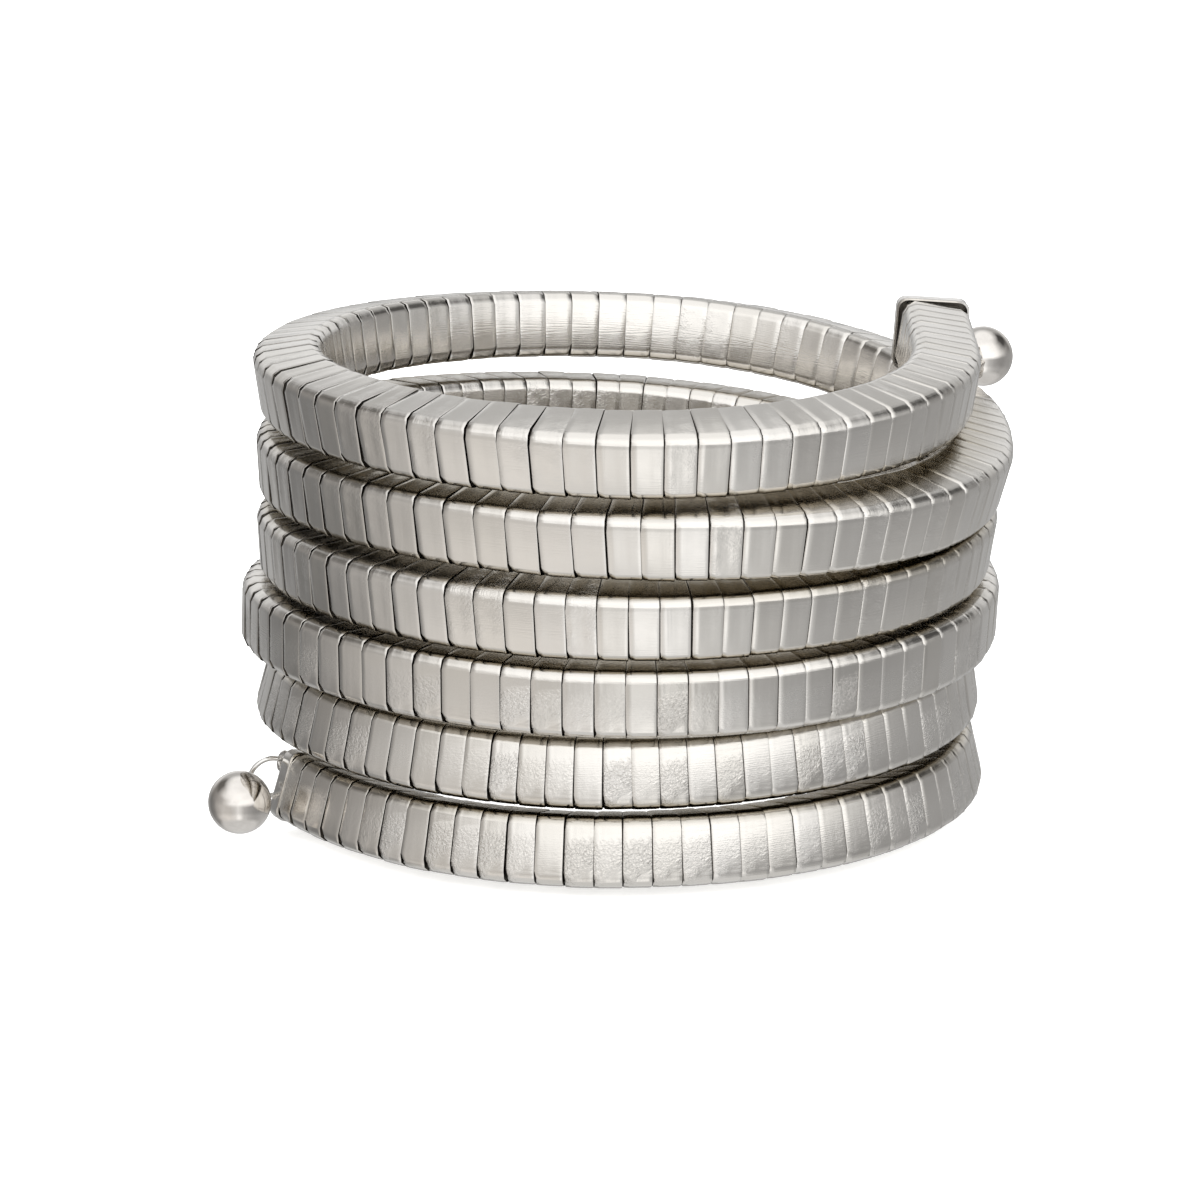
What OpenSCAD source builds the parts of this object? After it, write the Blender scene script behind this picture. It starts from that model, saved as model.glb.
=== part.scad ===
// Spiral bangle: one long flexible strip of box links wound into five and a half turns,
// with a closed cap on each end and a small ball hung from each cap by a jump ring.
// Millimetres. +Z is up, the bangle rests on its bottom turn at z = 0, the front is -Y.

/* [Strip] */
// Width and height of the square strip, over the mouth of a link
strip_size = 6.9; // [6.5:0.05:6.95]
// Flat across each long corner of the strip
corner_cut = 1.0; // [0.6:0.1:1.3]
// How far the tucked end of a link lies below the mouth that covers it
tuck_depth = 0.32; // [0.2:0.02:0.5]
// Number of box links in the whole strip
link_count = 424; // [300:2:430]

/* [Coil] */
// Angle where the strip starts at the top end, counted clockwise from the front
top_angle = -116; // [-120:1:-100]
// Angle where the strip stops at the bottom end
bottom_angle = 1869; // [1840:1:1880]
// How far the top end springs outward
top_spring = 2.8; // [0:0.1:4]
// How far the bottom end springs outward
bottom_spring = 0.9; // [0:0.1:1.5]

/* [Caps] */
// Length of an end cap along the strip
cap_length = 1.9; // [1.6:0.1:4]
// Wall of the rim that reaches over the end of the strip
cap_wall = 0.2; // [0.2:0.05:0.4]
// How far that rim reaches over the strip
cap_reach = 0.5; // [0.4:0.1:1.5]
// Gap left between a cap and the strip
cap_gap = 0.17; // [0.1:0.01:0.25]
// Round along the long corners of a cap
cap_round = 1; // [0.6:0.1:1.6]

/* [Rings and balls] */
// Radius of a ball
ball_radius = 3.1; // [2.5:0.1:3.5]
// Radius of a jump ring, to the middle of its wire
jump_radius = 2.1; // [2:0.05:2.4]
// Radius of the jump ring's wire
jump_wire = 0.25; // [0.2:0.05:0.3]
// Radius of a soldered eye, to the middle of its wire
eye_radius = 0.8; // [0.75:0.05:1]
// Radius of the eye's wire
eye_wire = 0.3; // [0.2:0.05:0.3]

/* [Hidden] */
$fn = 48;

silver = [0.78, 0.77, 0.75];
silver_pale = [0.84, 0.83, 0.81];
silver_dark = [0.66, 0.65, 0.63];

// The coil, a row for each quarter turn from just past the top end.
// height: middle of the strip above the table
// radius: middle of the strip from the coil's centre
// shift:  how far the centre of that quarter lies to the right
// lean:   how far the top of the strip leans outward, in degrees
coil_rows = [
//  height radius shift lean
    [44.4, 31.5,  2.5,   9],
    [43.6, 29.0,  2.0,   9],
    [42.7, 34.0,  4.0,  15],
    [42.7, 35.0,  2.0,   8],
    [39.7, 37.5,  3.5,  11],
    [34.7, 30.9,  3.5,  15],
    [34.8, 34.0,  5.5,  14],
    [34.4, 33.5,  0.5,   3],
    [31.8, 33.0, -0.5,   4],
    [27.6, 33.0,  0.0,   9],
    [26.8, 33.0,  1.5,  12],
    [26.7, 33.5,  0.5,   2],
    [22.0, 33.0,  0.0,   3],
    [20.0, 33.0,  0.5,   4],
    [19.0, 32.5,  1.5,   4],
    [19.3, 33.8, -1.0,  -2],
    [13.8, 33.5, -1.0,  -5],
    [12.0, 32.0, -0.5,  -8],
    [10.9, 30.0, -0.5, -11],
    [11.1, 32.0, -1.0, -15],
    [ 6.0, 33.0, -1.0, -13],
    [ 3.9, 32.8, -1.0, -13],
    [ 3.6, 31.5, -1.0, -12],
    [ 3.6, 32.0,  0.0, -19],
    [ 3.9, 33.0,  0.0, -16]];
first_row_angle = -180;
row_step = 90;
// each end springs outward over the last stretch before it
spring_stretch = 28;
// the whole coil is moved by this much, so that the origin lies under the middle of the bangle
coil_right = 0.52;
coil_back = -1.69;
coil_lift = 0.573;

// which quantity sits in which column
function height_of(row) = row[0];
function radius_of(row) = row[1];
function shift_of(row) = row[2];
function lean_of(row) = row[3];

function unit(v) = v / norm(v);
function row_number(i) = coil_rows[min(max(i, 0), len(coil_rows) - 1)];

// a smooth curve through the rows, by way of the two rows on each side
function blend(a, b, c, d, s) =
    b + s * ((c - a) + s * ((2 * a - 5 * b + 4 * c - d) + s * (3 * (b - c) + d - a))) / 2;
function coil_at(angle) =
    let (place = (angle - first_row_angle) / row_step, i = floor(place))
    blend(row_number(i - 1), row_number(i), row_number(i + 1), row_number(i + 2), place - i);

function spring_at(angle) =
    top_spring * pow(max(0, top_angle + spring_stretch - angle) / spring_stretch, 2)
    + bottom_spring * pow(max(0, angle - bottom_angle + spring_stretch) / spring_stretch, 2);

// a point on the strip's centre line
function middle(angle) =
    let (row = coil_at(angle), r = radius_of(row) + spring_at(angle))
    [coil_right + shift_of(row) - r * sin(angle), coil_back - r * cos(angle), coil_lift + height_of(row)];

// three square directions at an angle: down the strip, outward and upward, with the lean
function along(angle) = unit(middle(angle + 0.5) - middle(angle - 0.5));
function flat_out(angle) = unit(cross([0, 0, 1], along(angle)));
function flat_up(angle) = cross(along(angle), flat_out(angle));
function outward(angle) =
    let (lean = lean_of(coil_at(angle))) flat_out(angle) * cos(lean) - flat_up(angle) * sin(lean);
function upward(angle) =
    let (lean = lean_of(coil_at(angle))) flat_out(angle) * sin(lean) + flat_up(angle) * cos(lean);

// the strip's cross section, eight points, anticlockwise from the lower outer corner
function section(half) = let (flat = half - corner_cut)
    [[half, -flat], [half, flat], [flat, half], [-flat, half],
     [-half, flat], [-half, -flat], [-flat, -half], [flat, -half]];
sides = 8;

function ring(angle, half) =
    let (c = middle(angle), o = outward(angle), u = upward(angle))
    [for (p = section(half)) c + p[0] * o + p[1] * u];

mouth_half = strip_size / 2;
tuck_half = mouth_half - tuck_depth;
// the first mouth is pressed in a little, to go into the top cap
first_half = mouth_half - 0.15;
link_angle = (bottom_angle - top_angle) / link_count;
function link_start(i) = top_angle + i * link_angle;

// gap between the two halves of the strip, as an angle
half_gap = 0.3;

// a run of links: each one starts at a full mouth and narrows to its tucked end
module link_run(first, last) {
    rings = [for (i = [first : last]) each [
        ring(link_start(i), i == 0 ? first_half : mouth_half),
        ring(link_start(i + 1) - (i == last ? half_gap : 0), tuck_half)]];
    points = [for (r = rings) each r];
    side_faces = [for (k = [0 : len(rings) - 2], j = [0 : sides - 1])
        let (a = k * sides + j, b = k * sides + (j + 1) % sides, c = b + sides, d = a + sides)
        each [[a, c, b], [a, d, c]]];
    start_face = [for (j = [0 : sides - 1]) j];
    end_face = [for (j = [0 : sides - 1]) len(rings) * sides - 1 - j];
    polyhedron(points, concat([start_face], side_faces, [end_face]), convexity = 12);
}

middle_link = link_count / 2;

module link_strip_upper() { color(silver) link_run(0, middle_link - 1); }
module link_strip_lower() { color(silver) link_run(middle_link, link_count - 1); }

// moves its children to the strip at an angle: X outward, Y upward, Z down the strip
module on_strip(angle) {
    c = middle(angle);
    o = outward(angle);
    u = upward(angle);
    w = along(angle);
    multmatrix([[o[0], u[0], w[0], c[0]],
                [o[1], u[1], w[1], c[1]],
                [o[2], u[2], w[2], c[2]],
                [0, 0, 0, 1]]) children();
}

module rounded_square(half, round) {
    square([2 * half, 2 * (half - round)], center = true);
    square([2 * (half - round), 2 * half], center = true);
    for (x = [-1, 1], y = [-1, 1])
        translate([x * (half - round), y * (half - round)]) circle(round);
}

// a loop of round wire about the Z axis
module wire_loop(radius, wire) {
    rotate_extrude() translate([radius, 0]) circle(wire);
}

// where each eye sits on its cap's end face: outward and upward from the middle of the strip
top_eye_seat = [2.9, -2];
bottom_eye_seat = [2.9, 1.9];
// an eye or a ball's loop is sunk by this much where it is soldered on, measured at its wire
solder_sink = 0.15;
eye_stand = eye_radius - solder_sink;

// a closed cap whose rim reaches over the strip, with an eye on its end; the end face is at z = 0
module cap(half, rim_half, seat) {
    difference() {
        linear_extrude(cap_length) rounded_square(half, cap_round);
        translate([0, 0, cap_length - cap_reach])
            linear_extrude(cap_reach + 1) rounded_square(rim_half, cap_round - half + rim_half);
    }
    translate([seat[0], seat[1], -eye_stand]) rotate([0, 90, 0]) wire_loop(eye_radius, eye_wire);
}

bottom_rim_half = tuck_half + cap_gap;
bottom_cap_half = bottom_rim_half + cap_wall;
top_rim_half = first_half + cap_gap;
top_cap_half = top_rim_half + cap_wall;

// how far a cap's end face lies beyond the end of the strip
cap_stand = cap_length - cap_reach + cap_gap;

module top_cap() {
    color(silver_pale) on_strip(top_angle) translate([0, 0, -cap_stand])
        cap(top_cap_half, top_rim_half, top_eye_seat);
}
module bottom_cap() {
    color(silver_pale) on_strip(bottom_angle) translate([0, 0, cap_stand]) mirror([0, 0, 1])
        cap(bottom_cap_half, bottom_rim_half, bottom_eye_seat);
}

// a direction at one end of the strip, given as its outward and upward parts and its part
// off the end face
function off_face(angle, away, v) =
    v[0] * outward(angle) + v[1] * upward(angle) + v[2] * away * along(angle);

// A drop is what hangs from one cap. Its entries say, in order, the angle of the strip's end,
// which way is off the face, where the eye sits, which way the jump ring hangs from it, how far
// round the ring the ball's loop has swung, and how far the ball tilts out of the ring's plane.
top_drop = [top_angle, -1, top_eye_seat, [0.45, -0.23, 0.86], 6, -6];
bottom_drop = [bottom_angle, 1, bottom_eye_seat, [0.35, -0.91, 0.22], 43, -56];

function eye_of(drop) = middle(drop[0])
    + off_face(drop[0], drop[1], [drop[2][0], drop[2][1], cap_stand + eye_stand]);
function hang_of(drop) = unit(off_face(drop[0], drop[1], drop[3]));
function ring_middle(drop) = eye_of(drop) + jump_radius * hang_of(drop);
// the ring's plane holds the way it hangs and the way through the eye
function ring_axis(drop) = unit(cross(hang_of(drop), outward(drop[0])));
// from the ring's middle to the place where the ball's loop hangs
function to_loop(drop) =
    hang_of(drop) * cos(drop[4]) + cross(ring_axis(drop), hang_of(drop)) * sin(drop[4]);
function loop_of(drop) = ring_middle(drop) + jump_radius * to_loop(drop);
// from the ball's loop to the ball's middle
function to_ball(drop) = to_loop(drop) * cos(drop[5]) + ring_axis(drop) * sin(drop[5]);

loop_radius = 0.8;
loop_wire = 0.25;
loop_stand = ball_radius + loop_radius - solder_sink;
function ball_middle(drop) = loop_of(drop) + loop_stand * to_ball(drop);

// turns the Z axis of its children to a direction
module toward(v) {
    rotate([0, acos(v[2] / norm(v)), atan2(v[1], v[0])]) children();
}

module jump_ring(drop) {
    color(silver_dark) translate(ring_middle(drop)) toward(ring_axis(drop))
        wire_loop(jump_radius, jump_wire);
}
module top_jump_ring() { jump_ring(top_drop); }
module bottom_jump_ring() { jump_ring(bottom_drop); }

// a ball with its loop; the jump ring runs straight through the loop
module ball(drop) {
    color(silver_pale) {
        translate(ball_middle(drop)) sphere(ball_radius);
        translate(loop_of(drop)) toward(cross(ring_axis(drop), to_loop(drop)))
            wire_loop(loop_radius, loop_wire);
    }
}
module top_ball() { ball(top_drop); }
module bottom_ball() { ball(bottom_drop); }

link_strip_upper();
link_strip_lower();
top_cap();
bottom_cap();
top_jump_ring();
bottom_jump_ring();
top_ball();
bottom_ball();
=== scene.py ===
import math
import random

import bmesh
import bpy
import numpy as np
from mathutils import Matrix, Vector


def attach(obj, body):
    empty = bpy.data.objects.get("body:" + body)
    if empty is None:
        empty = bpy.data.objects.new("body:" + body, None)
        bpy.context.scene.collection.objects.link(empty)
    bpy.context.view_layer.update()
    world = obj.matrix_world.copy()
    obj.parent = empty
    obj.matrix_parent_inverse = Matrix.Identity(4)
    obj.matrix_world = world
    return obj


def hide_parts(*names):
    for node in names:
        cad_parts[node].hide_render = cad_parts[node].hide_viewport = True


mm = 0.001
nearly = 1e-6  # in metres, room for rounding in a test on a place


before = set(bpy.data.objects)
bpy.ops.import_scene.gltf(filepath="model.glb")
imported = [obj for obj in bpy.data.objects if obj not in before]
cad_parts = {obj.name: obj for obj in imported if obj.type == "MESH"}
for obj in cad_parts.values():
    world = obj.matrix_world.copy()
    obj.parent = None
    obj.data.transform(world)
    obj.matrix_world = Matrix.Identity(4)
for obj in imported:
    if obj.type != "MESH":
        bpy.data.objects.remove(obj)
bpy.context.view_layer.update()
print("frame loaded")


# helpers for modelling

def onlySelect(*objects):
    bpy.ops.object.select_all(action="DESELECT")
    for thing in objects:
        thing.select_set(True)
    bpy.context.view_layer.objects.active = objects[0]


def fixPlace():
    # puts a new primitive's place, turn and size into its mesh
    bpy.ops.object.transform_apply(location=True, rotation=True, scale=True)
    return bpy.context.object


def openForEdit(thing):
    onlySelect(thing)
    bpy.ops.object.mode_set(mode="EDIT")
    bpy.ops.mesh.select_all(action="DESELECT")


def closeEdit():
    bpy.ops.object.mode_set(mode="OBJECT")


def pick(thing, kind, wanted):
    # selects the vertices, edges or faces that pass the test
    bpy.ops.mesh.select_mode(type=kind)
    bpy.ops.mesh.select_all(action="DESELECT")
    mesh = bmesh.from_edit_mesh(thing.data)
    for part in {"VERT": mesh.verts, "EDGE": mesh.edges, "FACE": mesh.faces}[kind]:
        if wanted(part):
            part.select_set(True)
    bmesh.update_edit_mesh(thing.data)


def squeeze(x, y, z=1, centre=(0, 0, 0)):
    bpy.ops.transform.resize(value=(x, y, z), center_override=centre)


def pullThrough(steps, height, half):
    # extrudes the selected end face through (height, half size) steps in millimetres,
    # from the height and half size that it has now
    for nextHeight, nextHalf in steps:
        rise = (0, 0, (nextHeight - height) * mm)
        bpy.ops.mesh.extrude_region_move(TRANSFORM_OT_translate={"value": rise})
        squeeze(nextHalf / half, nextHalf / half)
        height, half = nextHeight, nextHalf


def startBox(low, high, half, corner, segments):
    # a square bar with rounded long corners, ready to be pulled longer at both ends
    bpy.ops.object.select_all(action="DESELECT")
    bpy.ops.mesh.primitive_cube_add(
        size=1, location=(0, 0, (low + high) / 2 * mm),
        scale=(2 * half * mm, 2 * half * mm, (high - low) * mm))
    bar = fixPlace()
    openForEdit(bar)
    pick(bar, "EDGE", lambda edge: abs(edge.verts[0].co.z - edge.verts[1].co.z) > nearly)
    bpy.ops.mesh.bevel(offset=corner * mm, segments=segments, affect="EDGES")
    return bar


def pickEnd(thing, side, end):
    # selects the end face that looks up (side 1) or down (side -1) the strip
    squarely = 0.9
    pick(thing, "FACE", lambda face: face.normal.z * side > squarely
         and face.calc_center_median().z * side > end * side * mm - nearly)


def reachOf(mesh, face):
    # how far a face reaches from the middle of the strip, across or up
    corners = [mesh.vertices[i].co for i in face.vertices]
    return max(max(abs(corner.x), abs(corner.y)) for corner in corners)


def softenFlats(thing, angle, weight):
    # smooth round the corners, with the flats kept flat
    onlySelect(thing)
    bpy.ops.object.shade_smooth_by_angle(angle=math.radians(angle))
    leveller = thing.modifiers.new("flats", "WEIGHTED_NORMAL")
    leveller.weight = weight
    leveller.keep_sharp = True
    bpy.ops.object.modifier_apply(modifier=leveller.name)


def joinAs(name, *parts):
    onlySelect(*parts)
    if len(parts) > 1:
        bpy.ops.object.join()
    whole = bpy.context.object
    whole.name = name
    whole.data.name = name
    return whole


def dress(thing, node):
    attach(thing, "root")
    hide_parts(node)


# helpers for the nodes of a finish

def put(tree, kind, values=None, **settings):
    # a new node; each value is a number, a colour or another node's output
    node = tree.nodes.new(kind)
    for key, value in settings.items():
        setattr(node, key, value)
    for socket, value in (values or {}).items():
        if isinstance(value, bpy.types.NodeSocket):
            tree.links.new(value, node.inputs[socket])
        else:
            node.inputs[socket].default_value = value
    return node


def calc(tree, how, a, b):
    return put(tree, "ShaderNodeMath", {0: a, 1: b}, operation=how).outputs[0]


def added(tree, a, b):
    return calc(tree, "ADD", a, b)


def times(tree, a, b):
    return calc(tree, "MULTIPLY", a, b)


def ranged(tree, value, span=(0, 1), to=(0, 1)):
    return put(tree, "ShaderNodeMapRange", {
        "Value": value, "From Min": span[0], "From Max": span[1],
        "To Min": to[0], "To Max": to[1]}).outputs[0]


def mixColours(tree, amount, first, second):
    ends = [colour if isinstance(colour, bpy.types.NodeSocket) else (*colour, 1)
            for colour in (first, second)]
    return put(tree, "ShaderNodeMix", {0: amount, 6: ends[0], 7: ends[1]},
               data_type="RGBA").outputs[2]


def stretched(tree, vector, scale, turn=(0, 0, 0)):
    return put(tree, "ShaderNodeMapping",
               {"Vector": vector, "Rotation": turn, "Scale": scale}).outputs[0]


def noise(tree, vector, scale, detail, roughness=0.5, distortion=0.0):
    return put(tree, "ShaderNodeTexNoise", {
        "Vector": vector, "Scale": scale, "Detail": detail,
        "Roughness": roughness, "Distortion": distortion}).outputs["Fac"]


def startGroup(name, inputs, outputs):
    group = bpy.data.node_groups.new(name, "ShaderNodeTree")
    for label, kind, value in inputs:
        socket = group.interface.new_socket(label, in_out="INPUT", socket_type=kind)
        if value is not None:
            socket.default_value = value
    for label in outputs:
        group.interface.new_socket(label, in_out="OUTPUT", socket_type="NodeSocketFloat")
    return group, group.nodes.new("NodeGroupInput"), group.nodes.new("NodeGroupOutput")


# the effects that several finishes share

sheetLook = {
    # how the patterns are stretched, across the strip and along it, per millimetre
    "dents": (0.16, 0.55, 1), "streaks": (9, 0.35, 1),
    "wrinkles": 3.2, "wrinkleRoughness": 0.6, "wrinkleBend": 0.8,
    "patches": 0.33, "patchEdge": (0.42, 0.62), "patchAmount": (0.1, 1.0),
}


def makeRolledSheet():
    # dents, fine wrinkles and rolling streaks of thin sheet; the vector is in millimetres,
    # X across the strip and Y along it
    look = sheetLook
    group, given, out = startGroup("rolledSheet", [
        ("Vector", "NodeSocketVector", None), ("Dent", "NodeSocketFloat", 1.0),
        ("Wrinkle", "NodeSocketFloat", 0.6), ("Streak", "NodeSocketFloat", 0.1)],
        ["Height", "Rough", "Tint"])
    vector = given.outputs["Vector"]
    dents = noise(group, stretched(group, vector, look["dents"]), scale=1.0, detail=1.0)
    wrinkles = noise(group, vector, look["wrinkles"], detail=3.0,
                     roughness=look["wrinkleRoughness"], distortion=look["wrinkleBend"])
    patches = noise(group, vector, look["patches"], detail=1.0)
    amount = ranged(group, patches, look["patchEdge"], look["patchAmount"])
    streaks = noise(group, stretched(group, vector, look["streaks"]), scale=1.0, detail=2.0)
    dentPart = times(group, dents, given.outputs["Dent"])
    wrinklePart = times(group, times(group, wrinkles, amount), given.outputs["Wrinkle"])
    streakPart = times(group, streaks, given.outputs["Streak"])
    height = added(group, added(group, dentPart, wrinklePart), streakPart)
    group.links.new(height, out.inputs["Height"])
    group.links.new(times(group, amount, streaks), out.inputs["Rough"])
    group.links.new(patches, out.inputs["Tint"])
    return group


handlingLook = {
    "hairTurns": ((0.4, 0.9, 0.2), (2.1, 0.3, 1.2)), "hairStretch": (1, 0.05, 0.05),
    "hairBend": 0.4, "hairEdge": (0.6, 0.66),
    "film": 260.0, "filmRoughness": 0.65, "filmEdge": (0.35, 0.7),
}


def makeHandling():
    # hairline scratches and a thin cloudy film from handling; the vector is in metres
    look = handlingLook
    group, given, out = startGroup("handling", [
        ("Vector", "NodeSocketVector", None), ("Scale", "NodeSocketFloat", 500.0)],
        ["Scratches", "Film"])
    vector = given.outputs["Vector"]
    hairs = []
    for turn in look["hairTurns"]:
        lay = stretched(group, vector, look["hairStretch"], turn)
        hair = noise(group, lay, given.outputs["Scale"], detail=3.0,
                     distortion=look["hairBend"])
        hairs.append(ranged(group, hair, look["hairEdge"]))
    film = noise(group, vector, look["film"], detail=4.0, roughness=look["filmRoughness"])
    group.links.new(calc(group, "MAXIMUM", *hairs), out.inputs["Scratches"])
    group.links.new(ranged(group, film, look["filmEdge"]), out.inputs["Film"])
    return group


rolledSheet = makeRolledSheet()
handling = makeHandling()


# the finishes

def startMetal(name, scratchScale):
    # a bare metal with the marks of handling ready to use
    metal = bpy.data.materials.new(name)
    metal.use_nodes = True
    tree = metal.node_tree
    tree.nodes["Principled BSDF"].inputs["Metallic"].default_value = 1.0
    place = put(tree, "ShaderNodeTexCoord").outputs["Object"]
    marks = put(tree, "ShaderNodeGroup", {"Vector": place, "Scale": scratchScale},
                node_tree=handling).outputs
    return metal, tree, marks["Scratches"], marks["Film"]


def finishMetal(tree, colour, rough, height, relief):
    bump = put(tree, "ShaderNodeBump", {"Strength": 1.0, "Distance": relief, "Height": height})
    shader = tree.nodes["Principled BSDF"]
    tree.links.new(colour, shader.inputs["Base Color"])
    tree.links.new(rough, shader.inputs["Roughness"])
    tree.links.new(bump.outputs["Normal"], shader.inputs["Normal"])


linkFinish = {
    "deep": (0.66, 0.632, 0.585), "clear": (0.79, 0.768, 0.737),
    # betweenShade is painted shade: an olive-brown darkening of the faces between two turns
    "betweenShade": (0.34, 0.29, 0.20), "leastBetweenShade": 0.75,
    "rough": (0.12, 0.32), "roughBySheet": 0.7, "roughByFilm": 0.25, "roughByTone": 0.3,
    # only some links are strongly wrinkled and dented: crease from and to, amount from and to
    "wrinkle": ((0.3, 0.9), (0.12, 1.5)), "dent": ((0.1, 0.9), (0.8, 2.2)),
    "relief": 0.0001, "scratchScale": 700.0, "scratchDepth": -0.02,
}


def makeLinkMetal():
    look = linkFinish
    metal, tree, scratches, film = startMetal("linkMetal", look["scratchScale"])
    sheetMap = put(tree, "ShaderNodeUVMap", uv_map="sheet").outputs[0]
    tone, crease, between = [
        put(tree, "ShaderNodeAttribute", attribute_name=name).outputs["Fac"]
        for name in ("linkTone", "crease", "between")]
    sheet = put(tree, "ShaderNodeGroup", {
        "Vector": sheetMap, "Wrinkle": ranged(tree, crease, *look["wrinkle"]),
        "Dent": ranged(tree, crease, *look["dent"])}, node_tree=rolledSheet)
    mixing = times(tree, added(tree, sheet.outputs["Tint"], tone), 0.5)
    shade = mixColours(tree, mixing, look["deep"], look["clear"])
    # the faces between two turns are darkened with an olive-brown colour: painted shade where the
    # next turn hangs over them
    cloudy = ranged(tree, film, to=(look["leastBetweenShade"], 1))
    shade = mixColours(tree, times(tree, between, cloudy), shade, look["betweenShade"])
    rough = added(tree, times(tree, sheet.outputs["Rough"], look["roughBySheet"]),
                  times(tree, film, look["roughByFilm"]))
    rough = added(tree, rough, times(tree, tone, look["roughByTone"]))
    height = added(tree, sheet.outputs["Height"], times(tree, scratches, look["scratchDepth"]))
    finishMetal(tree, shade, ranged(tree, rough, to=look["rough"]), height, look["relief"])
    return metal


jointFinish = {
    "shadeAndGrime": (0.17, 0.152, 0.127), "bare": (0.40, 0.372, 0.33), "rough": (0.55, 0.4),
    "relief": 0.00001, "scratchScale": 900.0,
}


def makeJointMetal():
    # the tucked ends and the insides of the mouths, painted dark: painted shade of the recesses
    # together with grime and dulling by rubbing
    look = jointFinish
    metal, tree, scratches, film = startMetal("jointMetal", look["scratchScale"])
    shade = mixColours(tree, film, look["shadeAndGrime"], look["bare"])
    finishMetal(tree, shade, ranged(tree, film, to=look["rough"]), scratches, look["relief"])
    return metal


polishes = {
    "capMetal": {"clear": (0.82, 0.80, 0.77), "deep": (0.66, 0.64, 0.61),
                 "rough": (0.1, 0.26), "relief": 0.00005, "scratchScale": 800.0},
    "solderMetal": {"clear": (0.66, 0.65, 0.63), "deep": (0.42, 0.41, 0.40),
                    "rough": (0.25, 0.5), "relief": 0.0002, "scratchScale": 900.0},
    "ringMetal": {"clear": (0.82, 0.81, 0.79), "deep": (0.66, 0.65, 0.63),
                  "rough": (0.08, 0.25), "relief": 0.00003, "scratchScale": 1200.0},
    "ballMetal": {"clear": (0.75, 0.72, 0.685), "deep": (0.60, 0.568, 0.53),
                  "rough": (0.05, 0.18), "relief": 0.00004, "scratchScale": 420.0},
}
swelling = {"scale": 420.0, "scratchDepth": -0.05}


def makePolish(name):
    look = polishes[name]
    metal, tree, scratches, film = startMetal(name, look["scratchScale"])
    place = put(tree, "ShaderNodeTexCoord").outputs["Object"]
    swell = noise(tree, place, swelling["scale"], detail=2.0)
    shade = mixColours(tree, film, look["clear"], look["deep"])
    rough = added(tree, times(tree, film, 0.5), times(tree, scratches, 0.5))
    height = added(tree, swell, times(tree, scratches, swelling["scratchDepth"]))
    finishMetal(tree, shade, ranged(tree, rough, to=look["rough"]), height, look["relief"])
    return metal


linkMetal = makeLinkMetal()
jointMetal = makeJointMetal()
capMetal, solderMetal, ringMetal, ballMetal = [makePolish(name) for name in polishes]
print("finishes made")


# the coil that the strip follows, in millimetres and degrees, as in the part's source

coil = {
    # height, radius, shift to the right, lean, a row for each quarter turn
    "rows": [(44.4, 31.5, 2.5, 9), (43.6, 29.0, 2.0, 9),
             (42.7, 34.0, 4.0, 15), (42.7, 35.0, 2.0, 8),
             (39.7, 37.5, 3.5, 11), (34.7, 30.9, 3.5, 15),
             (34.8, 34.0, 5.5, 14), (34.4, 33.5, 0.5, 3),
             (31.8, 33.0, -0.5, 4), (27.6, 33.0, 0.0, 9),
             (26.8, 33.0, 1.5, 12), (26.7, 33.5, 0.5, 2),
             (22.0, 33.0, 0.0, 3), (20.0, 33.0, 0.5, 4),
             (19.0, 32.5, 1.5, 4), (19.3, 33.8, -1.0, -2),
             (13.8, 33.5, -1.0, -5), (12.0, 32.0, -0.5, -8),
             (10.9, 30.0, -0.5, -11), (11.1, 32.0, -1.0, -15),
             (6.0, 33.0, -1.0, -13), (3.9, 32.8, -1.0, -13),
             (3.6, 31.5, -1.0, -12), (3.6, 32.0, 0.0, -19),
             (3.9, 33.0, 0.0, -16)],
    "firstRow": -180, "rowStep": 90,
    "top": -116, "bottom": 1869, "links": 424,
    # how far the two ends spring outwards, over the last degrees
    "topSpring": 2.8, "bottomSpring": 0.9, "springStretch": 28,
    "right": 0.52, "back": -1.69, "lift": 0.573,
}
linkAngle = (coil["bottom"] - coil["top"]) / coil["links"]


def coilRow(angle):
    # a smooth curve through the rows
    rows = coil["rows"]
    place = (angle - coil["firstRow"]) / coil["rowStep"]
    i = math.floor(place)
    s = place - i
    around = [rows[min(max(i + k, 0), len(rows) - 1)] for k in (-1, 0, 1, 2)]
    return [b + s * ((c - a) + s * ((2 * a - 5 * b + 4 * c - d) + s * (3 * (b - c) + d - a))) / 2
            for a, b, c, d in zip(*around)]


def leanAt(angle):
    return math.radians(coilRow(angle)[3])


def middle(angle):
    height, radius, shift = coilRow(angle)[:3]
    stretch = coil["springStretch"]
    radius += coil["topSpring"] * (max(0, coil["top"] + stretch - angle) / stretch) ** 2
    radius += coil["bottomSpring"] * (max(0, angle - coil["bottom"] + stretch) / stretch) ** 2
    turn = math.radians(angle)
    return Vector((coil["right"] + shift - radius * math.sin(turn),
                   coil["back"] - radius * math.cos(turn), coil["lift"] + height)) * mm


def squareOn(along, angle):
    # three square directions: outward, upward and down the strip, with the strip's lean
    flatOut = Vector((0, 0, 1)).cross(along).normalized()
    flatUp = along.cross(flatOut)
    lean = leanAt(angle)
    return (flatOut * math.cos(lean) - flatUp * math.sin(lean),
            flatOut * math.sin(lean) + flatUp * math.cos(lean), along)


def squareAt(angle):
    step = 0.5
    along = (middle(angle + step) - middle(angle - step)).normalized()
    return squareOn(along, angle)


def placing(axes, origin):
    return Matrix.Translation(origin) @ Matrix(axes).transposed().to_4x4()


# the box links, in millimetres and degrees

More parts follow.
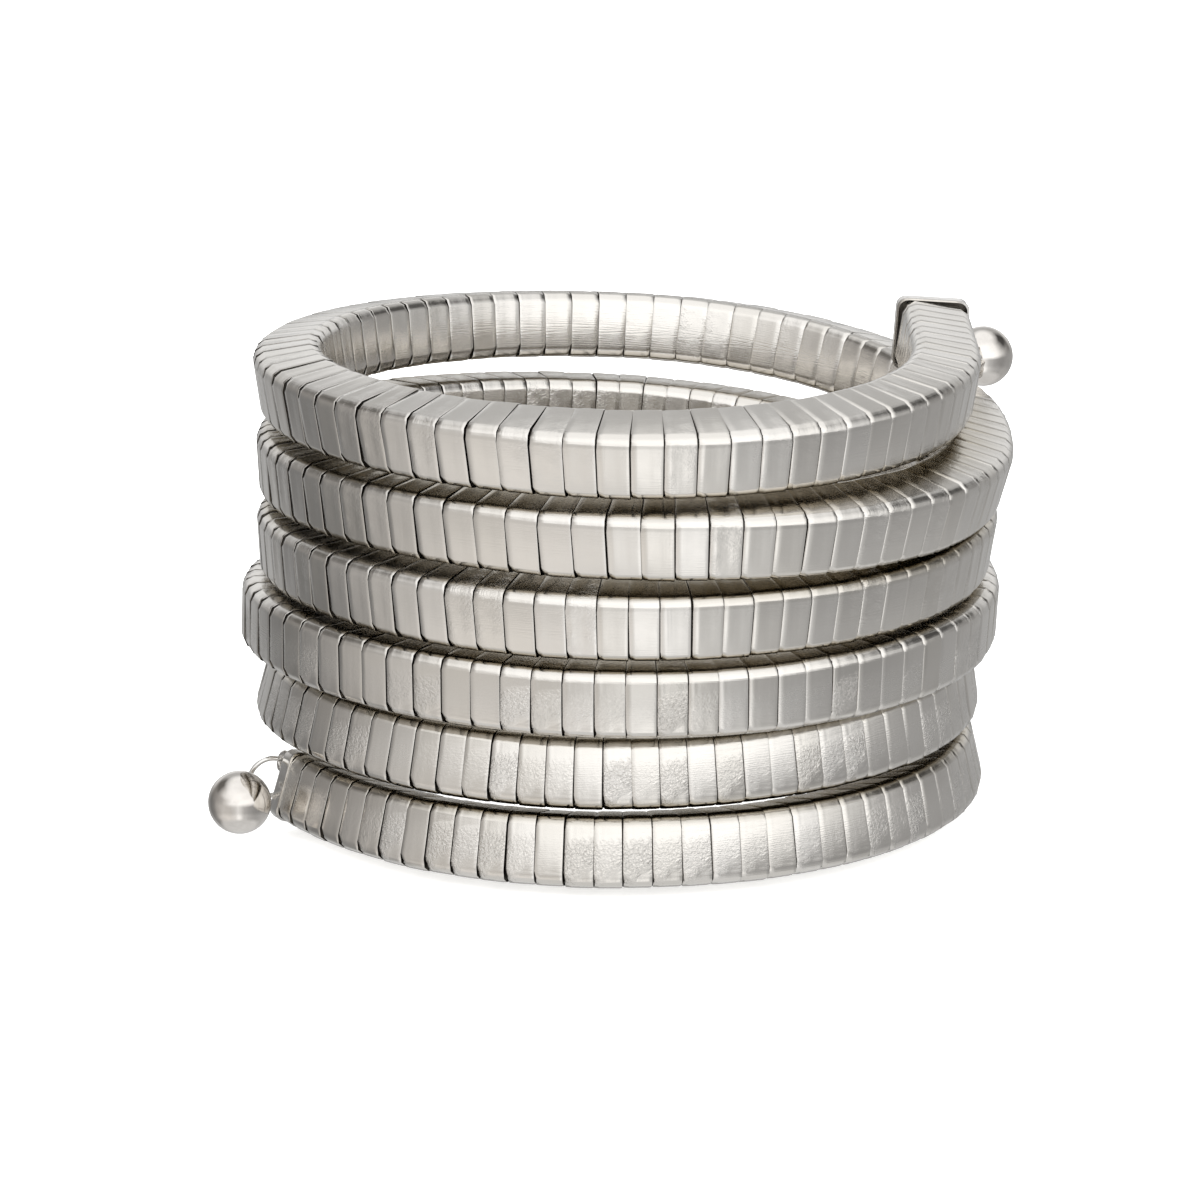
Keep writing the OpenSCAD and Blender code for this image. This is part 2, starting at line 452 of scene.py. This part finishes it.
linkLook = {
    "pitch": 2.725,  # from one mouth to the next, along the middle of the strip
    "half": 3.44, "corner": 1.15, "cornerSteps": 2,
    "flat": (0.3, 2.1),  # the flats run between these
    "mouth": [(0.04, 3.41), (0.0, 3.385), (0.4, 3.34)],  # lip, rim and recess
    "tuck": [(2.61, 3.41), (2.88, 3.15)],  # shoulder and tucked tip
    "side": 2.9, "rounding": 2.4,  # past these from the middle lie the sides and roundings
    "waist": (0.2, 2.2), "pinch": 0.984,  # the roundings are a little hollow here
    # how far the corners draw in at the tucked end, above and below
    "tuckFrom": 2.5, "drawIn": (0.98, 0.95),
    "mouthEnd": 0.7, "tipFrom": 2.8,  # where the joint's metal starts
    "smoothUnder": 50, "flatWeight": 60,
    "wedge": 0.85,  # how much of the coil's bend each link takes
    "pressed": (0.957, 2),  # the first link's mouth, pressed in over this length for the cap
    "lastLength": 0.92,  # the last link, which goes a little deeper into its cap
    # how unevenly the links sit
    "twist": 0.45, "yaw": 0.55, "nod": 0.4, "slip": 0.02, "mostSpread": 2,
    # how creased the links are at the top, and how much more at the bottom
    "crease": 0.5, "creaseBelow": 0.6,
    "sheetSize": 500, "seed": 7,
}


def modelLink():
    look = linkLook
    low, high = look["flat"]
    link = startBox(low, high, look["half"], look["corner"], look["cornerSteps"])
    pickEnd(link, -1, low)
    pullThrough(look["mouth"], low, look["half"])
    pickEnd(link, 1, high)
    pullThrough(look["tuck"], high, look["half"])
    # the corners of the tucked end are rounder than those of the mouth, most of all below
    tuckFrom, side, rounding = look["tuckFrom"] * mm, look["side"] * mm, look["rounding"] * mm
    for above, ratio in zip((1, -1), look["drawIn"]):
        pick(link, "VERT", lambda v: (v.co.z > tuckFrom and v.co.y * above > rounding
                                      and abs(v.co.x) > rounding))
        squeeze(ratio, ratio)
        pick(link, "VERT", lambda v: (v.co.z > tuckFrom and abs(v.co.x) > side
                                      and 0 < v.co.y * above < rounding))
        squeeze(1, 2 * ratio - 1)
    start, end = look["waist"]
    pick(link, "VERT", lambda v: (start * mm < v.co.z < end * mm
                                  and min(abs(v.co.x), abs(v.co.y)) > side))
    squeeze(look["pinch"], look["pinch"])
    bpy.ops.mesh.select_mode(type="FACE")
    bpy.ops.mesh.select_all(action="SELECT")
    bpy.ops.uv.cube_project(cube_size=mm, correct_aspect=False)
    closeEdit()
    link.data.uv_layers[0].name = "sheet"
    link.data.materials.append(linkMetal)
    link.data.materials.append(jointMetal)
    rim = look["mouth"][1][1] * mm + nearly
    # the recess inside the mouth and the tucked tip get jointMetal, whose dark colour is painted
    # shade together with grime
    for face in link.data.polygons:
        inMouth = face.center.z < look["mouthEnd"] * mm and reachOf(link.data, face) < rim
        atTip = face.center.z > look["tipFrom"] * mm
        face.material_index = 1 if inMouth or atTip else 0
    softenFlats(link, look["smoothUnder"], look["flatWeight"])
    return link


betweenLook = {
    "half": 3.45,  # half the thickness of a turn
    # each pair is where the painted shade between turns ends or starts, and the width over which
    # it fades:
    # sideways past the other turn, across a widening gap, and round the link's own corner
    "sideways": (3.6, 0.9), "gap": (2.4, 1.2), "corner": (2.6, 0.7),
}


def coveredBy(points, across, angle):
    # how far each point of a link lies between this turn and the next one up or down, 0 to 1: the
    # mask of the painted shade between turns
    look = betweenLook
    (wide, wideFade), (far, farFade), (corner, cornerFade) = [
        look[key] for key in ("sideways", "gap", "corner")]
    covered = np.zeros(len(points))
    for turn, side in ((-360, 1), (360, -1)):
        if coil["top"] <= angle + turn <= coil["bottom"]:
            outward, upward = squareAt(angle + turn)[:2]
            away = (points - np.array(middle(angle + turn))) / mm
            sideways = np.abs(away @ np.array(outward))
            gap = -side * (away @ np.array(upward)) - look["half"]
            under = np.clip((wide - sideways) / wideFade, 0, 1)
            near = np.clip((far - gap) / farFade, 0, 1)
            facing = np.clip((side * across / mm - corner) / cornerFade, 0, 1)
            covered = np.maximum(covered, under * near * facing)
    return covered


def shapeLink(rest, i, start, chord):
    # each link is a slight wedge, longer on the outside of the coil
    look = linkLook
    points = rest.copy()
    points[:, 2] *= chord / (look["pitch"] * mm)
    lean = leanAt(start)
    outer = points[:, 0] * math.cos(lean) + points[:, 1] * math.sin(lean)
    bend = look["wedge"] * math.radians(linkAngle) / chord
    points[:, 2] += bend * outer * (points[:, 2] - chord / 2)
    if i == 0:
        narrow, length = look["pressed"]
        widening = np.clip(points[:, 2] / (length * mm), 0, 1)
        points[:, :2] *= (narrow + (1 - narrow) * widening)[:, None]
    if i == coil["links"] - 1:
        points[:, 2] *= look["lastLength"]
    return points


def unevenSeat(chance, chord):
    # no two links sit quite alike
    look = linkLook
    most = look["mostSpread"]
    spread = [max(-most, min(most, chance.gauss(0, 1))) for k in range(6)]
    centre = Vector((0, 0, chord / 2))
    turn = (Matrix.Rotation(math.radians(look["nod"] * spread[0]), 4, "X")
            @ Matrix.Rotation(math.radians(look["yaw"] * spread[1]), 4, "Y")
            @ Matrix.Rotation(math.radians(look["twist"] * spread[2]), 4, "Z"))
    slip = Vector(spread[3:]) * look["slip"] * mm
    return Matrix.Translation(centre + slip) @ turn @ Matrix.Translation(-centre)


def mark(mesh, name, values):
    mesh.attributes.new(name, "FLOAT", "POINT").data.foreach_set("value", values)


def layStrip(name, node, first, last, link):
    look = linkLook
    chance = random.Random(look["seed"] + first)
    rest = np.array([vertex.co[:] for vertex in link.data.vertices])
    copies = []
    for i in range(first, last + 1):
        start = coil["top"] + i * linkAngle
        here, there = middle(start), middle(start + linkAngle)
        chord = (there - here).length
        axes = squareOn((there - here).normalized(), start + linkAngle / 2)
        copy = link.copy()
        mesh = copy.data = link.data.copy()
        bpy.context.collection.objects.link(copy)
        mesh.vertices.foreach_set("co", shapeLink(rest, i, start, chord).ravel())
        mesh.transform(placing(axes, here) @ unevenSeat(chance, chord))
        # its own stretch of sheet, its own tone and its own wear
        uv = mesh.uv_layers["sheet"].uv
        flat = np.empty(len(uv) * 2, dtype=np.float32)
        uv.foreach_get("vector", flat)
        size = look["sheetSize"]
        flat = flat.reshape(-1, 2) + (chance.uniform(0, size), chance.uniform(0, size))
        uv.foreach_set("vector", flat.ravel().astype(np.float32))
        mark(mesh, "linkTone", [chance.uniform(0, 1)] * len(rest))
        worn = look["crease"] + look["creaseBelow"] * i / coil["links"]
        mark(mesh, "crease", [chance.uniform(0, 1) * worn] * len(rest))
        placed = np.empty(len(rest) * 3)
        mesh.vertices.foreach_get("co", placed)
        # the mask of the painted shade between turns
        mark(mesh, "between", coveredBy(placed.reshape(-1, 3), rest[:, 1], start))
        copies.append(copy)
    dress(joinAs(name, *copies), node)


link = modelLink()
print("link modelled,", len(link.data.polygons), "faces")
halfway = coil["links"] // 2
layStrip("upperLinks", "link_strip_upper", 0, halfway - 1, link)
layStrip("lowerLinks", "link_strip_lower", halfway, coil["links"] - 1, link)
bpy.data.objects.remove(link)
print("strip laid")


# rings of wire, in millimetres and degrees: the caps' eyes, the balls' loops
# and the jump rings

eyeLook = {"radius": 0.8, "wire": 0.3, "segments": (40, 14), "sink": 0.15,
           "wornFrom": 0.4, "worn": 0.9}
loopLook = {"radius": 0.8, "wire": 0.25, "segments": (40, 14), "sink": 0.15,
            "wornFrom": 0.45, "worn": 0.92}
ringLook = {"radius": 2.1, "wire": 0.25, "segments": (72, 16),
            # the cut: how the two ends are chamfered, and how one sits a hair off the other
            "chamfer": (0.05, 0.03), "step": (0.03, 0, 0.05), "smoothUnder": 45}


def startRing(look, place=(0, 0, 0), turn=(0, 0, 0)):
    bpy.ops.object.select_all(action="DESELECT")
    bpy.ops.mesh.primitive_torus_add(
        location=place, rotation=turn,
        major_radius=look["radius"] * mm, minor_radius=look["wire"] * mm,
        major_segments=look["segments"][0], minor_segments=look["segments"][1])
    return fixPlace()


def modelLoop(look, place, away, metal):
    # an upright loop, worn thinner where the jump ring pulls
    loop = startRing(look, place, (0, math.pi / 2, 0))
    openForEdit(loop)
    pick(loop, "VERT", lambda v: (v.co.z - place[2]) * away > look["wornFrom"] * mm)
    squeeze(look["worn"], 1, centre=(place[0], place[1], 0))
    closeEdit()
    bpy.ops.object.shade_smooth()
    loop.data.materials.append(metal)
    return loop


# end caps with their soldered eyes, in millimetres and degrees

capLook = {
    "length": 1.9, "reach": 0.5, "gap": 0.17, "wall": 0.2, "corner": 1.0, "cornerSteps": 4,
    "straight": (0.4, 0.3),  # how far from the two ends the straight sides stop
    # steps of the closed end, from its face, and of the folded rim, back from the mouth,
    # each with how far it lies inside the outer side
    "closedEnd": [(0.14, 0.07), (0.03, 0.2), (0.0, 0.42), (0.0, 0.62), (0.05, 0.68), (0.03, 1.6)],
    "foldedRim": [(0.1, -0.03), (0.0, 0.01), (0.0, 0.18), (0.15, 0.2), (1.4, 0.25)],
    "dull": (0.3, 0.05), "dullInside": 0.03,  # the inside has the joint's metal
    "smoothUnder": 50, "flatWeight": 70,
    "topRim": 3.47, "bottomRim": 3.30,
    "topSeat": (2.9, -2), "bottomSeat": (2.9, 1.9),
    "topRoll": 4.5, "bottomRoll": 0,  # the top cap has turned a little on the strip
}
solderLook = {
    "radius": 0.5, "segments": (24, 12), "lift": 0.02, "shape": (1.0, 1.45, 0.62),
    "lumps": 0.035, "lumpsOutward": 0.6, "seed": 4,
    "shoulder": -0.2, "shoulderWidth": (0.8, 0.85),
}
capStand = (capLook["length"] - capLook["reach"] + capLook["gap"]) * mm
eyeStand = (eyeLook["radius"] - eyeLook["sink"]) * mm


def modelSolder(x, y):
    # a lump of solder at the foot of the eye
    look = solderLook
    bpy.ops.object.select_all(action="DESELECT")
    bpy.ops.mesh.primitive_uv_sphere_add(
        segments=look["segments"][0], ring_count=look["segments"][1],
        radius=look["radius"] * mm, location=(x, y, look["lift"] * mm), scale=look["shape"])
    solder = fixPlace()
    openForEdit(solder)
    bpy.ops.mesh.select_all(action="SELECT")
    bpy.ops.transform.vertex_random(offset=look["lumps"] * mm, uniform=0.0,
                                    normal=look["lumpsOutward"], seed=look["seed"])
    pick(solder, "VERT", lambda v: v.co.z < look["shoulder"] * mm)
    squeeze(*look["shoulderWidth"], centre=(x, y, 0))
    closeEdit()
    bpy.ops.object.shade_smooth()
    solder.data.materials.append(solderMetal)
    return solder


def modelCap(name, node, rim, seat, roll, axes, origin):
    # the closed end is at z = 0 and the mouth towards the strip
    look = capLook
    outer = rim + look["wall"]
    length = look["length"]
    low, high = look["straight"][0], length - look["straight"][1]
    body = startBox(low, high, outer, look["corner"], look["cornerSteps"])
    pickEnd(body, -1, low)
    pullThrough([(step, outer - inside) for step, inside in look["closedEnd"]], low, outer)
    pickEnd(body, 1, high)
    pullThrough([(length - step, outer - inside) for step, inside in look["foldedRim"]],
                high, outer)
    closeEdit()
    body.data.materials.append(capMetal)
    body.data.materials.append(jointMetal)
    start, end = look["dull"][0] * mm, (length - look["dull"][1]) * mm
    # the inside of the cap gets jointMetal too: painted shade of the recess together with grime
    for face in body.data.polygons:
        inside = reachOf(body.data, face) < (rim + look["dullInside"]) * mm
        face.material_index = 1 if inside and start < face.center.z < end else 0
    softenFlats(body, look["smoothUnder"], look["flatWeight"])
    body.data.transform(Matrix.Rotation(math.radians(roll), 4, "Z"))
    x, y = seat[0] * mm, seat[1] * mm
    eye = modelLoop(eyeLook, (x, y, -eyeStand), -1, capMetal)
    cap = joinAs(name, body, eye, modelSolder(x, y))
    cap.data.transform(placing(axes, origin))
    cap.data.update()
    dress(cap, node)


topAxes = squareAt(coil["top"])
modelCap("topCap", "top_cap", capLook["topRim"], capLook["topSeat"], capLook["topRoll"],
         topAxes, middle(coil["top"]) - topAxes[2] * capStand)
bottomAxes = squareAt(coil["bottom"])
modelCap("bottomCap", "bottom_cap", capLook["bottomRim"],
         (-capLook["bottomSeat"][0], capLook["bottomSeat"][1]), capLook["bottomRoll"],
         (-bottomAxes[0], bottomAxes[1], -bottomAxes[2]),
         middle(coil["bottom"]) + bottomAxes[2] * capStand)
print("caps made")


# jump rings and balls, in millimetres and degrees

ballLook = {
    "radius": 3.1, "segments": (64, 40),
    # a small raised collar under the loop: how far it spreads round the ball, in degrees,
    # two steps inwards and outwards, and how flat it is pressed
    "collar": 11, "collarSteps": [(0.06, 0.05), (0.08, 0.04)], "collarFlat": 0.4,
}
# which way the ring hangs off the cap, how far the ball's loop swings round it,
# how far the ball tilts, and where the ring's cut is
dropLook = {
    "top": {"angle": coil["top"], "away": -1, "seat": capLook["topSeat"],
            "hang": (0.45, -0.23, 0.86), "swing": 6, "tilt": -6, "cut": 110},
    "bottom": {"angle": coil["bottom"], "away": 1, "seat": capLook["bottomSeat"],
               "hang": (0.35, -0.91, 0.22), "swing": 43, "tilt": -56, "cut": -70},
}


def offFace(drop, v):
    axes = squareAt(drop["angle"])
    return axes[0] * v[0] + axes[1] * v[1] + axes[2] * (v[2] * drop["away"])


def followDrop(drop):
    # where the ring and the ball's loop are, and which way they face
    radius = ringLook["radius"] * mm
    stand = (capStand + eyeStand) / mm
    eye = middle(drop["angle"]) + offFace(drop, (*drop["seat"], stand)) * mm
    hang = offFace(drop, drop["hang"]).normalized()
    ringAxis = hang.cross(squareAt(drop["angle"])[0]).normalized()
    ringMiddle = eye + hang * radius
    swing, tilt = math.radians(drop["swing"]), math.radians(drop["tilt"])
    toLoop = hang * math.cos(swing) + ringAxis.cross(hang) * math.sin(swing)
    toBall = toLoop * math.cos(tilt) + ringAxis * math.sin(tilt)
    loopStand = (ballLook["radius"] + loopLook["radius"] - loopLook["sink"]) * mm
    return {"ringMiddle": ringMiddle, "ringAxis": ringAxis, "hang": hang,
            "ballMiddle": ringMiddle + toLoop * radius + toBall * loopStand,
            "toBall": toBall, "loopAxis": ringAxis.cross(toLoop), "loopStand": loopStand}


def modelRing(name, node, cut, place):
    # a closed turn of wire with the cut where its two ends meet
    look = ringLook
    ring = startRing(look)
    openForEdit(ring)
    width = 2 * math.pi / look["segments"][0]

    def around(point):
        return math.atan2(point.y, point.x)

    pick(ring, "FACE", lambda face: 0 < around(face.calc_center_median()) < width)
    bpy.ops.mesh.delete(type="FACE")
    bpy.ops.mesh.select_mode(type="EDGE")
    bpy.ops.mesh.select_all(action="DESELECT")
    bpy.ops.mesh.select_non_manifold()
    bpy.ops.mesh.fill_holes(sides=0)
    pick(ring, "FACE", lambda face: len(face.verts) == look["segments"][1])
    bpy.ops.mesh.inset(thickness=look["chamfer"][0] * mm, depth=look["chamfer"][1] * mm)
    bpy.ops.mesh.select_all(action="SELECT")
    bpy.ops.mesh.normals_make_consistent(inside=False)
    pick(ring, "VERT", lambda v: abs(around(v.co)) < width / 4)
    bpy.ops.transform.translate(value=[step * mm for step in look["step"]])
    closeEdit()
    bpy.ops.object.shade_smooth_by_angle(angle=math.radians(look["smoothUnder"]))
    ring.data.materials.append(ringMetal)
    ring = joinAs(name, ring)
    across = place["ringAxis"].cross(place["hang"])
    ring.data.transform(placing((place["hang"], across, place["ringAxis"]), place["ringMiddle"])
                        @ Matrix.Rotation(math.radians(cut), 4, "Z"))
    dress(ring, node)


def modelBall(name, node, place):
    look = ballLook
    radius = look["radius"] * mm
    bpy.ops.object.select_all(action="DESELECT")
    bpy.ops.mesh.primitive_uv_sphere_add(
        segments=look["segments"][0], ring_count=look["segments"][1], radius=radius)
    ball = bpy.context.object
    openForEdit(ball)
    pick(ball, "FACE", lambda face: face.normal.z > math.cos(math.radians(look["collar"])))
    for inward, rise in look["collarSteps"]:
        bpy.ops.mesh.inset(thickness=inward * mm, depth=rise * mm)
    squeeze(1, 1, look["collarFlat"], centre=(0, 0, radius))
    closeEdit()
    bpy.ops.object.shade_smooth()
    ball.data.materials.append(ballMetal)
    loop = modelLoop(loopLook, (0, 0, place["loopStand"]), 1, ringMetal)
    whole = joinAs(name, ball, loop)
    up = -place["toBall"]
    axes = (place["loopAxis"], up.cross(place["loopAxis"]), up)
    whole.data.transform(placing(axes, place["ballMiddle"]))
    dress(whole, node)


for end, drop in dropLook.items():
    place = followDrop(drop)
    modelRing(end + "JumpRing", end + "_jump_ring", drop["cut"], place)
    modelBall(end + "Ball", end + "_ball", place)
print("rings and balls made")


# light, floor and camera

studio = {
    # how bright and how warm the studio is all round, low down,
    # by degrees to the right of the front
    "low": [(-180, 0.70, 0), (-150, 0.62, 0), (-124, 0.28, 0), (-104, 0.38, 0.02),
            (-85, 0.70, 0.03), (-67, 0.88, 0.03), (-50, 0.98, 0.03), (-30, 0.92, 0.03),
            (-14, 1.05, 0.01), (0, 1.42, 0), (8, 1.28, 0), (20, 0.84, 0), (38, 0.64, 0),
            (57, 0.53, 0), (77, 0.47, 0), (98, 0.53, 0), (122, 0.54, 0), (150, 0.62, 0),
            (180, 0.70, 0)],
    # the same a little above the table, where the front light starts
    "high": [(-180, 0.98, 0), (-150, 0.90, 0), (-126, 0.27, 0.04), (-100, 0.36, 0.03),
             (-85, 0.47, 0.03), (-67, 0.60, 0.02), (-52, 0.84, 0.02), (-32, 1.30, 0),
             (0, 1.54, 0), (25, 1.60, 0), (40, 1.56, 0), (57, 1.36, 0), (77, 0.88, 0),
             (98, 0.50, 0), (126, 0.24, 0.02), (150, 0.88, 0), (180, 0.98, 0)],
    # and above the heads of the side screens
    "upper": [(-180, 0.60, 0), (-152, 0.58, 0), (-132, 0.16, 0.05), (-104, 0.17, 0.05),
              (-82, 0.66, 0.02), (-55, 1.30, 0), (0, 1.55, 0), (55, 1.35, 0), (82, 0.60, 0),
              (104, 0.10, 0.02), (132, 0.08, 0.02), (152, 0.55, 0), (180, 0.60, 0)],
    "table": 0.8, "overhead": 1.25,
    # the heights at which one band fades into the next, from the table to overhead
    "fades": [(-0.84, -0.72), (-0.06, 0.14), (0.28, 0.46), (0.70, 0.92)],
    # the low band is a little darker above these heights
    "dimming": ((-0.6, -0.42), (1.0, 0.76)),
    # a broad soft light that whitens the floor and isn't seen in the metal
    "sun": {"strength": 4.0, "angle": 140, "place": (0.1, -0.3, 0.8), "turn": (0.25, 0.12, 0)},
    "floor": {"colour": (0.95, 0.95, 0.945), "glow": 0.5, "rough": 0.9, "gloss": 0.1, "size": 8},
    # at the photograph's angle: level with its front, looking 14 degrees down
    "camera": {"place": (0.00052, -0.543711, 0.162107), "down": 14.357, "lens": 168.768,
               "sensor": 36, "shift": (-0.0215, -0.024), "sees": (0.01, 20)},
}


def fillRamp(ramp, stops):
    while len(ramp.elements) > 1:
        ramp.elements.remove(ramp.elements[-1])
    for k, (angle, value, warmth) in enumerate(stops):
        place = (angle + 180) / 360
        stop = ramp.elements[0] if k == 0 else ramp.elements.new(place)
        stop.position = place
        stop.color = (value * (1 + warmth), value, value * (1 - warmth), 1)


def makeWorld():
    world = bpy.data.worlds.new("studio")
    bpy.context.scene.world = world
    world.use_nodes = True
    tree = world.node_tree
    tree.nodes.clear()
    way = put(tree, "ShaderNodeTexCoord")
    parts = put(tree, "ShaderNodeSeparateXYZ", {0: way.outputs["Generated"]})
    front = times(tree, parts.outputs["Y"], -1.0)
    angle = calc(tree, "ARCTAN2", parts.outputs["X"], front)
    around = ranged(tree, angle, (-math.pi, math.pi))
    bands = []
    for band in ("low", "high", "upper"):
        ramp = put(tree, "ShaderNodeValToRGB", {"Fac": around})
        fillRamp(ramp.color_ramp, studio[band])
        bands.append(ramp.outputs["Color"])
    dimming = ranged(tree, parts.outputs["Z"], *studio["dimming"])
    bands[0] = put(tree, "ShaderNodeVectorMath", {0: bands[0], "Scale": dimming},
                   operation="SCALE").outputs[0]
    sky = (studio["table"],) * 3
    for span, above in zip(studio["fades"], [*bands, (studio["overhead"],) * 3]):
        sky = mixColours(tree, ranged(tree, parts.outputs["Z"], span), sky, above)
    shade = put(tree, "ShaderNodeBackground", {"Color": sky, "Strength": 1.0})
    out = tree.nodes.new("ShaderNodeOutputWorld")
    tree.links.new(shade.outputs[0], out.inputs[0])


def hangSun():
    look = studio["sun"]
    bpy.ops.object.light_add(type="SUN", location=look["place"], rotation=look["turn"])
    sun = bpy.context.object
    sun.name = "floorLight"
    sun.data.energy = look["strength"]
    sun.data.angle = math.radians(look["angle"])
    sun.visible_glossy = False


def layFloor():
    look = studio["floor"]
    bpy.ops.mesh.primitive_plane_add(size=look["size"], location=(0, 0, 0))
    floor = bpy.context.object
    floor.name = "floor"
    paint = bpy.data.materials.new("paleFloor")
    paint.use_nodes = True
    sockets = paint.node_tree.nodes["Principled BSDF"].inputs
    sockets["Base Color"].default_value = (*look["colour"], 1)
    sockets["Roughness"].default_value = look["rough"]
    sockets["Specular IOR Level"].default_value = look["gloss"]
    sockets["Emission Color"].default_value = (*look["colour"], 1)
    sockets["Emission Strength"].default_value = look["glow"]
    floor.data.materials.append(paint)
    floor.visible_glossy = False


def setCamera():
    look = studio["camera"]
    turn = (math.radians(90 - look["down"]), 0, 0)
    bpy.ops.object.camera_add(location=look["place"], rotation=turn)
    camera = bpy.context.object
    camera.name = "photoCamera"
    camera.data.sensor_width = look["sensor"]
    camera.data.lens = look["lens"]
    camera.data.shift_x, camera.data.shift_y = look["shift"]
    camera.data.clip_start, camera.data.clip_end = look["sees"]
    bpy.context.scene.camera = camera


bpy.ops.object.select_all(action="DESELECT")
makeWorld()
hangSun()
layFloor()
setCamera()
bpy.context.scene.view_settings.view_transform = "Standard"
print("floor, light and camera set")
